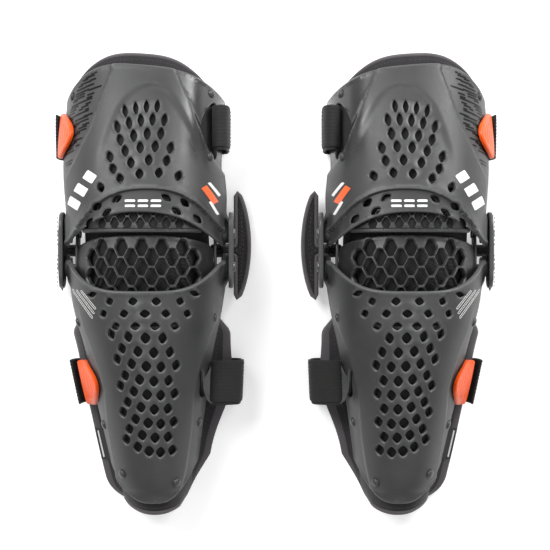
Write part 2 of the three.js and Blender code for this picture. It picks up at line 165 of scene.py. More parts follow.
def lengths_along(line):
    """How far along a line each of its points lies."""
    return np.concatenate([[0], np.cumsum(np.linalg.norm(np.diff(line, axis=0), axis=1))])


def at_lengths(line, places):
    """The points of a line at given lengths along it."""
    lengths = lengths_along(line)
    return np.stack([np.interp(places, lengths, line[:, k]) for k in (0, 1)], 1)


def resample(points, step):
    """A closed loop with even steps."""
    loop = np.vstack([points, points[:1]])
    length = lengths_along(loop)[-1]
    count = max(8, round(length / step))
    return at_lengths(loop, np.arange(count) * length / count)


def rounded(points, times, step=1.5):
    """A closed loop with even steps and softened corners."""
    loop = resample(points, step)
    for _ in range(times):
        loop = (np.roll(loop, 1, 0) + 2 * loop + np.roll(loop, -1, 0)) / 4
    return loop


def band_outline(low, high, rim, times=4):
    """The outline between two edges that are functions of the turn, counter-clockwise."""
    turns = np.linspace(-rim, rim, 181)
    bottom = np.stack([turns * FLAT, low(turns)], 1)
    top = np.stack([turns * FLAT, high(turns)], 1)[::-1]
    return rounded(np.vstack([bottom, top]), times)


def inset(loop, distance):
    """A counter-clockwise loop moved inwards."""
    tangent = np.roll(loop, -1, 0) - np.roll(loop, 1, 0)
    tangent /= np.linalg.norm(tangent, axis=1)[:, None]
    return loop + distance * np.stack([-tangent[:, 1], tangent[:, 0]], 1)


def inside(points, loop):
    """Which points a closed loop holds."""
    x, y = points[:, 0][:, None], points[:, 1][:, None]
    a, b = loop, np.roll(loop, -1, 0)
    crosses = (a[:, 1] > y) != (b[:, 1] > y)
    rise = np.where(np.abs(b[:, 1] - a[:, 1]) < 1e-9, 1e-9, b[:, 1] - a[:, 1])
    meets = a[:, 0] + (y - a[:, 1]) * (b[:, 0] - a[:, 0]) / rise
    return (crosses & (x < meets)).sum(1) % 2 == 1


def distance_to(points, targets):
    """The distance from each point to the nearest target."""
    best = np.full(len(points), np.inf)
    for chunk in np.array_split(targets, max(1, len(targets) // 200)):
        gap = points[:, None, :] - chunk[None, :, :]
        best = np.minimum(best, np.sqrt((gap ** 2).sum(2)).min(1))
    return best


def lozenge(width, height, power, count=14):
    """A vent's outline about its middle: a diamond at power 1, an ellipse at 2."""
    angle = np.arange(count) * 2 * math.pi / count
    c, s = np.cos(angle), np.sin(angle)
    return np.stack([np.sign(c) * np.abs(c) ** (2 / power) * width / 2,
                     np.sign(s) * np.abs(s) ** (2 / power) * height / 2], 1)


# ---- Sheets: a flat region with holes, given a front and a back ----

class Hole:
    """An opening with a chamfer: its outline, how wide the chamfer is and how deep it goes."""

    def __init__(self, loop, chamfer=1.0, drop=0.9):
        self.loop = loop
        self.outer = inset(loop, -chamfer)
        self.drop = drop


def outside(points, rings):
    """The points that none of the rings holds."""
    for ring in rings:
        points = points[~inside(points, ring)]
    return points


def clear_of(points, lines, gap):
    """The points further than a gap from every line."""
    return points[distance_to(points, np.vstack(lines)) > gap] if lines else points


def lattice_between(low, high, step):
    """Points in staggered rows between two corners."""
    rows = []
    for k, y in enumerate(np.arange(low[1] + step / 2, high[1], step * 0.866)):
        xs = np.arange(low[0] + (step / 2 if k % 2 else 0), high[0], step)
        rows.append(np.stack([xs, np.full_like(xs, y)], 1))
    return np.vstack(rows)


def inner_points(outline, rings, step, steps_in, lines):
    """Points inside a sheet: rows along its outline, the given lines, and a lattice over the rest."""
    rows = [clear_of(clear_of(inset(outline, distance), [outline], distance * 0.8), rings, step * 0.4)
            for distance in steps_in]
    kept = []
    for line in lines:
        line = clear_of(line[inside(line, outline)], [outline], steps_in[-1] + 0.6)
        kept.append(clear_of(outside(line, rings), rings, 0.7))
    lattice = lattice_between(outline.min(0), outline.max(0), step)
    lattice = clear_of(lattice[inside(lattice, outline)], [outline], steps_in[-1] + step * 0.5)
    lattice = clear_of(outside(lattice, rings), rings, step * 0.45)
    return rows + kept + [clear_of(lattice, kept, step * 0.45)]


def triangulated(points, edges, faces):
    """The points and the triangles that lie inside the first face and outside the others."""
    made = delaunay_2d_cdt([Vector(p) for p in points], edges, faces, 1, 1e-5, True)
    kept = [f for f, source in zip(made[2], made[5]) if source and all(k == 0 for k in source)]
    used = sorted({v for f in kept for v in f})
    renumber = {v: k for k, v in enumerate(used)}
    flat = np.array([tuple(v) for v in made[0]])[used]
    return flat, np.array([[renumber[v] for v in f] for f in kept])


def sheet(outline, holes, step, front, back, steps_in=(0.35, 1.0, 2.0), lines=()):
    """A closed sheet over a flat outline, from front(flat, edge distance, chamfer drop) and back(flat, edge
    distance). Its triangles follow the lines."""
    loops = [outline] + [hole.loop for hole in holes]
    rings = [hole.outer for hole in holes]
    points = np.vstack(loops + rings + inner_points(outline, rings, step, steps_in, lines))
    starts = np.cumsum([0] + [len(loop) for loop in loops + rings]).tolist()
    faces = [list(range(start, start + len(loop))) for start, loop in zip(starts, loops)]
    edges = [(start + k, start + (k + 1) % len(ring))
             for start, ring in zip(starts[len(loops):], rings) for k in range(len(ring))]
    flat, triangles = triangulated(points, edges, faces)
    drop = np.zeros(len(flat))
    for hole in holes:
        near = np.flatnonzero((np.abs(flat - hole.loop.mean(0)) < 40).all(1))
        on_loop = near[distance_to(flat[near], hole.loop) < 1e-3]
        drop[on_loop] = hole.drop
    edge = distance_to(flat, outline)
    return close_up(front(flat, edge, drop), back(flat, edge), triangles)


def level(surface, depth):
    """A sheet's face at one depth below a surface."""
    return lambda flat, edge, drop=0: surface(flat, np.full(len(flat), depth))


def close_up(top, under, triangles):
    """Joins a front and a back of the same triangles into one closed mesh."""
    count = len(top)
    sides = np.vstack([triangles[:, [0, 1]], triangles[:, [1, 2]], triangles[:, [2, 0]]])
    seen = {(a, b) for a, b in sides.tolist()}
    walls = [(b, a, a + count, b + count) for a, b in seen if (b, a) not in seen]
    faces = triangles.tolist() + (triangles[:, ::-1] + count).tolist() + sorted(walls)
    return np.vstack([top, under]), faces


def softened(edge, radius):
    """How far an edge's rounding lies below the surface, at each distance from the edge."""
    t = np.clip(1 - edge / radius, 0, 1)
    return radius * (1 - np.sqrt(1 - t ** 2))


def grid_faces(rows, columns, closed_rows=False, closed_columns=False):
    """The quads of a grid of points, row by row."""
    faces = []
    for j in range(rows if closed_rows else rows - 1):
        for i in range(columns if closed_columns else columns - 1):
            a, b = j * columns + i, j * columns + (i + 1) % columns
            c, d = ((j + 1) % rows) * columns + (i + 1) % columns, ((j + 1) % rows) * columns + i
            faces.append((a, b, c, d))
    return faces


def joined(*meshes):
    """Several meshes as one."""
    points, faces, start = [], [], 0
    for p, f in meshes:
        points.append(np.asarray(p, float))
        faces += [tuple(v + start for v in face) for face in f]
        start += len(p)
    return np.vstack(points), faces


# ---- Placing pieces ----

def turned(mesh, turn):
    """A mesh with its faces turned round where turn is true, as a mirrored one needs."""
    points, faces = mesh
    return points, [tuple(face)[::-1] if turn else tuple(face) for face in faces]


def place(name, mesh, material, body, slot, replaces=(), sharp=40, padded=None):
    """Makes a piece for each guard from one mesh in the right guard's millimetres."""
    for side in SIDES:
        mirrored = side == "left"
        points, faces = turned(mesh, mirrored)
        shifted = points.copy()
        shifted[:, 0] = SPACING / 2 - points[:, 0] if mirrored else points[:, 0] - SPACING / 2
        data = bpy.data.meshes.new(side + "_" + name)
        data.from_pydata((shifted * MM).tolist(), [], faces)
        data.validate()
        data.shade_smooth()
        data.set_sharp_from_angle(angle=math.radians(sharp))
        data.materials.append(material)
        piece = bpy.data.objects.new(side + "_" + name, data)
        bpy.context.scene.collection.objects.link(piece)
        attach(piece, side + "_" + body)
        if replaces:
            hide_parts(*(side + "_" + node for node in replaces))


def place_cloth(name, mesh, material, body, **values):
    """Places a soft piece of the liners, whose edges look round."""
    place(name, mesh, material, body, "liner", sharp=60, **values)


# ---- Materials ----

GRAIN = 0.00005  # metres that the spark grain of the mouldings stands up


class Material:
    """A small helper that builds a node material."""

    def __init__(self, name):
        self.data = bpy.data.materials.new(name)
        self.data.use_nodes = True
        self.tree = self.data.node_tree
        self.shader = self.tree.nodes["Principled BSDF"].inputs
        self.place = self.node("ShaderNodeTexCoord").outputs["Object"]

    def node(self, kind, **values):
        made = self.tree.nodes.new(kind)
        for key, value in values.items():
            if hasattr(made, key):
                setattr(made, key, value)
            else:
                self.feed(made.inputs[key.replace("_", " ")], value)
        return made

    def feed(self, target, value):
        """Links a socket to another one, or sets it to a constant."""
        if hasattr(value, "node"):
            self.tree.links.new(value, target)
        else:
            target.default_value = value

    def set(self, **values):
        """Feeds the shader's own sockets."""
        for key, value in values.items():
            self.feed(self.shader[key.replace("_", " ")], value)

    def split(self):
        """The object's place as X, Y and Z."""
        return self.node("ShaderNodeSeparateXYZ", Vector=self.place).outputs

    def noise(self, scale, detail=3.0, roughness=0.6):
        made = self.node("ShaderNodeTexNoise", Vector=self.place, Scale=scale, Detail=detail,
                         Roughness=roughness)
        return made.outputs["Fac"]

    def range(self, value, low, high, start=0.3, end=0.7):
        made = self.node("ShaderNodeMapRange", Value=value, From_Min=start, From_Max=end, To_Min=low,
                         To_Max=high)
        return made.outputs["Result"]

    def mix(self, factor, a, b):
        made = self.node("ShaderNodeMix", data_type="RGBA", Factor=factor)
        for socket, value in (("A", a), ("B", b)):
            self.feed(made.inputs[socket], value if hasattr(value, "node") else (*value, 1))
        return made.outputs["Result"]

    def math(self, operation, a, b=0.0):
        made = self.node("ShaderNodeMath", operation=operation)
        self.feed(made.inputs[0], a)
        self.feed(made.inputs[1], b)
        return made.outputs["Value"]

    def blend(self, a, b, share=0.5):
        """A sum of two values by their shares."""
        return self.math("ADD", self.math("MULTIPLY", a, share), self.math("MULTIPLY", b, 1 - share))

    def bump(self, height, distance, strength, below=None):
        made = self.node("ShaderNodeBump", Strength=strength, Distance=distance, Height=height)
        if below:
            self.feed(made.inputs["Normal"], below)
        return made.outputs["Normal"]


def moulding(name, dark, light, worn, wear):
    """A textured moulding with clouded colour, a spark grain and lighter worn edges, and its mottling."""
    m = Material(name)
    cloud = m.noise(34, 4)
    edges = m.node("ShaderNodeNewGeometry").outputs["Pointiness"]
    share, wear_from, wear_to = wear
    shade = m.mix(m.range(cloud, 0, 1), dark, light)
    m.set(Base_Color=m.mix(m.range(edges, 0, share, wear_from, wear_to), shade, worn),
          Normal=m.bump(m.noise(1500, 2), GRAIN, 0.8, m.bump(m.noise(420, 2), GRAIN * 2, 0.5)))
    return m, m.blend(cloud, m.noise(260, 5, 0.7))


def moulded_plastic(name, dark, light, low, high, worn):
    """A moulding whose roughness lies between two values."""
    m, mottling = moulding(name, dark, light, worn, (0.5, 0.53, 0.6))
    m.set(Roughness=m.range(mottling, low, high))
    return m.data


def shell_plastic():
    """Dark moulded plastic, matt on the front and glossier on the medial flange of the thigh."""
    m, mottling = moulding("shell_plastic", (0.027, 0.0272, 0.0276), (0.036, 0.0363, 0.0368),
                           (0.13, 0.131, 0.132), (0.55, 0.515, 0.56))
    place = m.split()
    medial = m.range(m.math("ABSOLUTE", place["X"]), 1, 0, 0.074, 0.088)
    thigh = m.range(place["Y"], 0, 1, 0.10, 0.13)
    flange = m.math("MULTIPLY", m.math("MULTIPLY", medial, thigh), 0.31)
    m.set(Roughness=m.math("SUBTRACT", m.range(mottling, 0.44, 0.56), flange))
    return m.data


def woven(name, dark, light, pitch, depth, sheen=0.25):
    """Knitted or woven cloth: threads that cross at a pitch in millimetres, clouded colour and sheen."""
    m = Material(name)
    turns = math.pi / (pitch * MM)
    place = m.split()
    warp = m.math("SINE", m.math("MULTIPLY", m.math("ADD", place["X"], place["Z"]), turns))
    weft = m.math("SINE", m.math("MULTIPLY", place["Y"], turns))
    threads = m.math("MULTIPLY", warp, weft)
    shade = m.mix(m.range(m.blend(m.noise(60, 4), m.noise(900, 2), 0.7), 0, 1), dark, light)
    m.set(Base_Color=m.mix(m.range(threads, 0, 0.5, -1, 1), shade, tuple(0.55 * c for c in dark)),
          Roughness=0.9, Sheen_Weight=sheen, Sheen_Roughness=0.5,
          Normal=m.bump(threads, depth * MM, 0.7, m.bump(m.noise(1400, 3), 0.00006, 0.5)))
    return m.data


def metal(name, shade, roughness):
    m = Material(name)
    colour = m.mix(m.range(m.noise(120, 4), 0, 1), tuple(0.8 * c for c in shade), shade)
    m.set(Metallic=0.85, Base_Color=colour,
          Roughness=m.range(m.noise(700, 3), roughness - 0.08, roughness + 0.12),
          Normal=m.bump(m.noise(2200, 2), 0.00002, 0.6))
    return m.data


def orange_plastic():
    m = Material("clip_orange")
    m.set(Base_Color=m.mix(m.range(m.noise(70, 4), 0, 1), (0.74, 0.078, 0.006), (0.82, 0.098, 0.010)),
          Roughness=m.range(m.noise(300, 4), 0.3, 0.42), Specular_IOR_Level=0.3, Subsurface_Weight=0.04,
          Subsurface_Scale=0.002, Normal=m.bump(m.noise(900, 2), 0.00003, 0.5))
    return m.data


def ink(name, shade, gloss=0.5):
    """Pad print with slight wear."""
    m = Material(name)
    worn = m.range(m.noise(420, 5, 0.7), 0, 0.25, 0.55, 0.75)
    m.set(Base_Color=m.mix(worn, shade, tuple(0.6 * c for c in shade)), Specular_IOR_Level=gloss,
          Roughness=m.range(m.noise(300, 3), 0.35, 0.5), Normal=m.bump(m.noise(1500, 2), 0.00003, 0.5))
    return m.data


SHELL_PLASTIC = shell_plastic()
# The cup's moulding is darker than the shell's, and its base colour is darkened further as painted shade for
# the cup set deep in the shells and the panel under the brow.
CUP_PLASTIC_AND_SHADE = moulded_plastic("cup_plastic_and_shade", (0.009, 0.0091, 0.0095), (0.014, 0.0142, 0.0147), 0.4, 0.54,
                              (0.14, 0.141, 0.142))
LINK_PLASTIC = moulded_plastic("link_plastic", (0.035, 0.037, 0.037), (0.045, 0.047, 0.047), 0.36, 0.5,
                               (0.13, 0.13, 0.13))
# The liner's cloth is a dark purple-grey, and its base colour is darkened further as painted shade where the
# liner shows through the vents.
LINER_CLOTH_AND_SHADE = woven("liner_cloth_and_shade", (0.010, 0.009, 0.010), (0.018, 0.0155, 0.018), 1.1, 0.18, sheen=0.06)
MESH_CLOTH = woven("mesh_cloth", (0.004, 0.0035, 0.004), (0.009, 0.008, 0.009), 1.6, 0.35, sheen=0.03)
BINDING = woven("binding_tape", (0.060, 0.054, 0.059), (0.085, 0.077, 0.084), 0.7, 0.08, sheen=0.2)
ELASTIC = woven("elastic", (0.007, 0.007, 0.0068), (0.014, 0.014, 0.0135), 0.8, 0.10, sheen=0.06)
THREAD = woven("thread", (0.03, 0.03, 0.03), (0.055, 0.055, 0.055), 0.4, 0.05)
LABEL = woven("label_black", (0.010, 0.010, 0.010), (0.018, 0.018, 0.018), 0.5, 0.05)
LABEL_RED = woven("label_red", (0.35, 0.010, 0.014), (0.45, 0.014, 0.018), 0.5, 0.05)
LABEL_WHITE = woven("label_white", (0.55, 0.55, 0.54), (0.66, 0.66, 0.65), 0.5, 0.05)
CLIP_ORANGE = orange_plastic()
STEEL = metal("fastener_steel", (0.16, 0.16, 0.165), 0.36)
RIVET_BLACK = moulded_plastic("rivet_black", (0.030, 0.031, 0.032), (0.042, 0.043, 0.044), 0.26, 0.4,
                              (0.12, 0.12, 0.12))
BLACK_INK = ink("print_black", (0.004, 0.004, 0.004), 0.12)
WHITE_INK = ink("print_white", (0.78, 0.78, 0.77))
ORANGE_INK = ink("print_orange", (0.85, 0.13, 0.03))


# ---- Thigh shell ----

DOME_LEFT = [(-72, 98), (-63, 112.5), (-56.5, 126), (-48.7, 140), (-43, 156), (-37, 176), (-30, 197)]
DOME_RIGHT = [(78, 92), (72, 104), (66, 113), (61.4, 120), (57, 131), (54.6, 138), (50, 149.6), (43, 168),
              (38.5, 177), (35.7, 182.4), (32.3, 192), (29, 199)]
DISH_LEFT = [(-40, 95), (-38, 120), (-32, 140), (-24, 160), (-16, 171), (-6, 179), (8, 183)]
DISH_RIGHT = [(60, 95), (54, 120), (46, 140), (38, 156), (30, 170), (21, 179), (8, 183)]


def edge_line(corners, offset):
    """A line through corners seen from the front, flattened, with even steps, moved sideways."""
    line = smooth_path(corners, 1.6)
    return flattened(line[:, 0] + offset, line[:, 1])


def beside(corners, x, y):
    """How far a place lies to the right of a line that runs along Y."""
    corners = sorted(corners, key=lambda corner: corner[1])
    return x - np.interp(y, [c[1] for c in corners], [c[0] for c in corners])


def ridge(x):
    """Where the dome ends above the band that frames the knee opening."""
    return 85 - 27.7 * (np.abs(x - 6) / 59) ** 2.5


def between(left, right, x, y):
    """How far a place lies inside the nearer one of two lines that run along Y."""
    return np.minimum(beside(left, x, y), -beside(right, x, y))


def bump_at(distance, reach):
    """1 at a place and 0 away from it, for the distance and how far the bump reaches."""
    return np.exp(-((distance / reach) ** 2))


def ear_swell(x, y, pivot):
    """The flat swelling of a shell's ear towards its link, over the arch's height at the knee."""
    height = np.maximum(0, 1 - (np.abs(x - 1) / 75.5) ** 2.8) ** (1 / 2.8) * 116
    return 2.2 * ramp(np.hypot(y - pivot, height - PIVOT_Z), 22, 12)


def thigh_relief(x, y):
    """How far the thigh shell stands above the plain arch: its dome, the dish in it, and the lower band."""
    dome = 3.0 * ramp(between(DOME_LEFT, DOME_RIGHT, x, y), -0.6, 3.4) * ramp(y, 60, 90)
    dish = -1.7 * ramp(between(DISH_LEFT, DISH_RIGHT, x, y), -1, 7) * ramp(y, 95, 130)
    step = -2.8 * ramp(ridge(x) - y, -0.7, 0.9) + bump_at(y - ridge(x) - 4, 5)
    return dome + dish + step + ear_swell(x, y, UPPER_PIVOT)


def thigh_vents():
    """Vents of the thigh shell: rows over the dome, and a few along the band round the opening.
    A row is its Y, how many vents it has, their pitch, width and height."""
    vents = []
    rows = [(161.5, 4, 9.7, 5.4, 12.0), (149.2, 5, 10.6, 6.3, 12.2), (136.2, 4, 12.2, 7.0, 11.8),
            (124.2, 5, 13.5, 7.2, 11.2), (111.8, 4, 15.8, 7.4, 10.6), (100, 5, 17.0, 7.5, 9.8)]
    for y, count, pitch, width, height in rows:
        for k in range(count):
            x = (k - (count - 1) / 2) * pitch - 0.9
            vents.append((x, y - (x - 12) ** 2 / 165, width, height, math.radians(-0.5 * (x - 4))))
    for x, y, lean in [(-21.5, 76.2, 30), (-40, 69.8, 40), (-31.5, 64.2, 34), (-48.5, 55.8, 46),
                       (24, 77.5, -30), (41, 73.2, -38), (34, 65.6, -34), (53, 59, -46)]:
        vents.append((x, y, 10.4, 6.0, math.radians(lean)))
    return vents


def vent_holes(vents, power=1.6, chamfer=1.2):
    """Openings from the vents' X, Y, width, height and lean."""
    holes = []
    for x, y, width, height, lean in vents:
        loop = lozenge(width, height, power)
        c, s = math.cos(lean), math.sin(lean)
        loop = np.stack([loop[:, 0] * c - loop[:, 1] * s + x, loop[:, 0] * s + loop[:, 1] * c + y], 1)
        holes.append(Hole(flattened(loop[:, 0], loop[:, 1]), chamfer))
    return holes


def slot_hole(y, half_length, x_inner, x_outer):
    """A strap's slot, straight on its outer side and bowed on its inner side, as seen from the front."""
    ys = np.linspace(-1, 1, 24)
    bow = np.stack([x_outer - 2 - (x_outer - x_inner - 2) * (1 - ys**2), y - half_length * ys], 1)
    straight = [(x_outer, y - half_length + 2), (x_outer, y + half_length - 2)]
    loop = rounded(np.vstack([bow, straight]), 3, 2.0)
    return Hole(flattened(loop[:, 0], loop[:, 1]), 1.2, 1.0)


def lift_at(relief, flat):
    """A relief's height at flattened places."""
    plain = on_arch(flat, 0)
    return relief(plain[:, 0], plain[:, 1])


def outer_shell(body, outline, holes, relief, sides, lines=()):
    """A body's hard shell with a beaded rim. Its triangles follow the relief's left and right sides."""
    def front(flat, edge, drop):
        bead = 0.6 * bump_at(edge - 1.8, 1.1)
        return on_arch(flat, drop + softened(edge, 1.2) - (lift_at(relief, flat) + bead))

    def back(flat, edge):
        return on_arch(flat, SHELL - 0.4 * lift_at(relief, flat))

    left, right, width = sides
    lines = list(lines) + [edge_line(left, 0), edge_line(right, 0), edge_line(left, width),
                           edge_line(right, -width)]
    place(body + "_outer_shell", sheet(outline, holes, 2.3, front, back, lines=lines), SHELL_PLASTIC, body,
          "shell", replaces=[body + "_shell"], sharp=32)


def thigh_shell():
    holes = vent_holes(thigh_vents()) + [slot_hole(142, 27, 52.5, 66)]
    outline = band_outline(brow_edge, thigh_top, SHELL_RIM)
    xs = np.linspace(-56, 68, 90)
    ridge_lines = [flattened(xs, ridge(xs) + offset) for offset in (-0.9, 0.7)]
    outer_shell("thigh", outline, holes, thigh_relief, (DOME_LEFT, DOME_RIGHT, 2.6), ridge_lines)


# ---- Shin shell ----

FACET_LEFT = [(-26, -192), (-30, -169), (-34.8, -133), (-36.3, -97), (-43.7, -69), (-53.5, -42), (-60, -22)]
FACET_RIGHT = [(34, -192), (39, -169), (43, -142), (46, -114), (50, -85), (57, -61), (66, -35)]


def shin_relief(x, y):
    """How far the shin shell stands above the plain arch."""
    spine = 3.0 * ramp(between(FACET_LEFT, FACET_RIGHT, x, y), -0.6, 3.6) * ramp(-y, 14, 46)
    toe = -1.2 * ramp(-y, 188, 193)
    return spine * (1 - 0.6 * ramp(-y, 175, 200)) + toe + ear_swell(x, y, LOWER_PIVOT)


def shin_vents():
    """Vents of the shin shell: two beside the sill, and staggered rows that bow more towards the ankle.
    A row is its Y, how many vents it has, their pitch and its bow. One row ends a vent early."""
    vents = [(-44, -9, 9.5, 5.6, math.radians(12)), (49, -8, 9.0, 5.6, math.radians(-20))]
    rows = [(-15, 4, 21.2, 0), (-26, 5, 18.7, 0), (-37.2, 4, 17.2, 0), (-48, 5, 14.9, 1 / 420),
            (-61, 4, 13.8, 1 / 240), (-74, 5, 12.7, 1 / 170), (-87, 4, 12.5, 1 / 150),
            (-100, 5, 11.7, 1 / 120), (-113, 4, 11.6, 1 / 105), (-126.5, 5, 10.9, 1 / 88),
            (-139.5, 4, 11.1, 1 / 80), (-153, 5, 9.9, 1 / 70)]
    short_row = 3
    for k, (y, count, pitch, bow) in enumerate(rows):
        middle = 4.6 + 0.12 * k
        for i in range(count - (k == short_row)):
            x = middle + (i - (count - 1) / 2) * pitch
            width, height = (9.6, 7.4) if k < 3 else (9.0, 10.4)
            narrow = 0.08 * abs(x - middle)
            vents.append((x, y + bow * (x - 15) ** 2, width - narrow, height, math.radians(-0.6 * (x - 8))))
    return vents


def shin_shell():
    holes = vent_holes(shin_vents(), 1.5, 1.3) + [slot_hole(-92, 15, 49.5, 54.5)]
    outline = band_outline(shin_tip, sill_edge, SHELL_RIM)
    draw_in = math.radians(8) * np.exp(-(((outline[:, 1] + 88) / 50) ** 2))
    outline[:, 0] *= 1 - draw_in / SHELL_RIM
    outer_shell("shin", outline, holes, shin_relief, (FACET_LEFT, FACET_RIGHT, 2.8))


# ---- Honeycomb cup and panel ----

CUP = {"gap": 5, "depth": 5.0, "reach": 63.5, "top": 44.5, "drop": 7, "drop_at": 58, "low": 0.62,
       "high": 0.88}
CHEEK = {"outer": 65.1, "inner": 62.6, "radius": 9}
PANEL = {"low": 46.5, "high": 80.0, "reach": 58.0, "front": 6.8, "back": 8.6, "lip": 2.2}


def cell_loop(x, y, width, height, shoulder=0.38):
    """A tall hexagon with rounded corners."""
    w, h, s = width / 2, height / 2, shoulder
    corners = [(w, 0), (w * s, h), (-w * s, h), (-w, 0), (-w * s, -h), (w * s, -h)]
    return rounded(np.array(corners, float), 2, 1.3) + [x, y]


def honeycomb(keeps, start_y, pitch, rise, width, height):
    """The middles of a staggered lattice's cells that a test keeps, as outlines."""
    cells = []
    for j in range(-8, 9):
        for i in range(-9, 10):
            x, y = i * pitch, start_y + j * rise
            if (i + j) % 2 == 0 and keeps(x, y):
                cells.append(cell_loop(x, y, width, height))
    return cells


def dome_radius(x):
    turn = np.arcsin(np.clip(np.abs(x) / (KNEE_HALF - CUP["gap"]), 0, 0.999) ** (1 / KNEE_POWER))
    return knee_height(turn) - PIVOT_Z - CUP["gap"]


def on_dome(flat, depth):
    """The cup's dome, which turns about the lower pivot's axis, from places seen from the front."""
    radius = dome_radius(flat[:, 0])
    lean = np.arcsin(np.clip((flat[:, 1] - LOWER_PIVOT) / radius, -0.97, 0.97))
    x = HINGE_MIDDLE + flat[:, 0] * (1 - depth / (KNEE_HALF - CUP["gap"]))
    return np.stack([x, LOWER_PIVOT + (radius - depth) * np.sin(lean),
                     PIVOT_Z + (radius - depth) * np.cos(lean)], 1)


def cup_top(x):
    arched = CUP["top"] - CUP["drop"] * (np.abs(x) / CUP["drop_at"]) ** 3
    return np.minimum(arched, LOWER_PIVOT + CUP["high"] * dome_radius(x))


def patella_cup():
    xs = np.linspace(-CUP["reach"], CUP["reach"], 90)
    low = np.stack([xs, LOWER_PIVOT - CUP["low"] * dome_radius(xs)], 1)
    top = np.stack([xs, cup_top(xs)], 1)[::-1]
    outline = rounded(np.vstack([low, top]), 5)

    def keeps(x, y):
        return abs(x) < 55.5 - 0.35 * max(0, y - 18) and -24 < y < cup_top(abs(x)) - 8.2

    def front(flat, edge, drop):
        web = 1 - ramp(np.abs(flat[:, 0]), 55, 60)
        return on_dome(flat, drop + softened(edge, 1.5) + 1.1 * web * ramp(edge, 2.6, 4.4))

    cells = [Hole(loop, 0.8, 1.1) for loop in honeycomb(keeps, 15.5, 9.4, 9.1, 12.4, 16.0)]
    mesh = sheet(outline, cells, 2.2, front, level(on_dome, CUP["depth"]))
    place("cup_shell", mesh, CUP_PLASTIC_AND_SHADE, "knee", "honeycomb", sharp=34, replaces=["patella_cup"])
    place("cup_cheeks", joined(cheek(-1), cheek(1)), CUP_PLASTIC_AND_SHADE, "knee", "honeycomb")


def arc_round(pivot, radius, start, stop, count):
    """An arc in Y and Z round a pivot, between two angles in half turns."""
    return [(pivot + radius * math.cos(a), PIVOT_Z + radius * math.sin(a))
            for a in np.linspace(start * math.pi, stop * math.pi, count)]


def cheek(side):
    """The flat cheek inside the shells that carries the cup on both pins."""
    lower = arc_round(LOWER_PIVOT, CHEEK["radius"], 1.0, 1.5, 12)
    upper = arc_round(UPPER_PIVOT, CHEEK["radius"], 1.5, 2.4, 20)
    outline = rounded(np.array(lower + upper + [(34, 57), (12, 57)]), 2)
    return plate_across(outline, side, CHEEK["outer"], CHEEK["inner"], 0.6)


def plate_across(outline, side, outer, inner, rounding, relief=lambda flat, edge: 0.0):
    """A plate across X from an outline in Y and Z, between two distances from the hinge's middle."""
    def at(distance):
        return lambda flat, edge, drop=0: np.stack([
            HINGE_MIDDLE + side * (distance(flat, edge) + np.zeros(len(flat))), flat[:, 0], flat[:, 1]], 1)

    front = at(lambda flat, edge: outer - softened(edge, rounding) + relief(flat, edge))
    mesh = sheet(outline, [], 2.2, front, at(lambda flat, edge: inner + softened(edge, rounding)))
    return turned(mesh, side < 0)


def mesh_panel():
    """The honeycomb panel behind the brow, with a lip along its low edge."""
    xs = np.linspace(-PANEL["reach"], PANEL["reach"], 80)
    outline = rounded(np.vstack([flattened(xs, PANEL["low"]), flattened(xs[::-1], PANEL["high"])]), 2)

    def front(flat, edge, drop):
        lip = PANEL["lip"] * ramp(flat[:, 1], 50.6, 49.6)
        return on_arch(flat, PANEL["front"] - lip + drop + softened(edge, 1.0))

    def keeps(x, y):
        return abs(x - 3) < 47 and 52 < y < 75

    cells = [Hole(flattened(loop[:, 0], loop[:, 1]), 0.5, 0.7)
             for loop in honeycomb(keeps, 54.8, 6.4, 6.1, 9.4, 10.2)]
    xs = np.linspace(-PANEL["reach"], PANEL["reach"], 90)
    lines = [flattened(xs, y) for y in (49.6, 50.7)]
    mesh = sheet(outline, cells, 2.2, front, level(on_arch, PANEL["back"]), lines=lines)
    place("brow_honeycomb", mesh, CUP_PLASTIC_AND_SHADE, "thigh", "honeycomb", sharp=34, replaces=["thigh_mesh_panel"])


# ---- Liners and pads ----

PAD_STEPS_IN = (0.3, 0.9, 1.8, 3.0)
STITCH_PITCH, STITCH_LENGTH = 4.2, 2.7


def pad_sheet(outline, front_depth, back_depth, channels, surface=on_arch, edge_round=3.2):
    """A foam pad: crowned on the leg's side, pulled in at its edge and along its sewn channels."""
    def front(flat, edge, drop):
        return surface(flat, front_depth + softened(edge, edge_round))

    def back(flat, edge):
        swell = 1.0 * ramp(edge, 0, 12) - 1.8 * channels(flat)
        return surface(flat, back_depth - softened(edge, edge_round) + swell)

    return sheet(outline, [], 3.0, front, back, steps_in=PAD_STEPS_IN)


def sewn_channels(near, far, y):
    """A test that is 1 on a pad's sewn lines: two pairs that run along it, and one across it."""
    def channels(flat):
        sideways = np.abs(flat[:, 0])
        lines = (sideways - near, sideways - far, flat[:, 1] - y)
        return np.clip(sum(bump_at(distance, 1.9) for distance in lines), 0, 1)
    return channels


def binding(outline, depth, surface, half_width=2.4, height=3.9):
    """The tape sewn round a pad's edge, as a flattened tube along the outline."""
    loop = resample(outline, 3.0)
    angles = np.linspace(0, 2 * math.pi, 12, endpoint=False)
    rings = [surface(inset(loop, half_width * (math.cos(a) - 0.35)),
                     np.full(len(loop), depth + height * math.sin(a))) for a in angles]
    return np.stack(rings, 1).reshape(-1, 3), grid_faces(len(loop), len(angles), True, True)


def stitches(starts, ends, out, radius=0.42):
    """Short raised threads from starts to ends, standing out along out."""
    points, faces = [], []
    for a, b, n in zip(starts, ends, out):
        along_it = (b - a) / np.linalg.norm(b - a)
        n = n / np.linalg.norm(n)
        across_it = np.cross(along_it, n)
        middle, k = (a + b) / 2, len(points)
        points += [a, *(middle + radius * way for way in (across_it, n, -across_it, -n)), b]
        for i in range(4):
            faces += [(k, k + 1 + (i + 1) % 4, k + 1 + i), (k + 5, k + 1 + i, k + 1 + (i + 1) % 4)]
    return np.array(points), faces


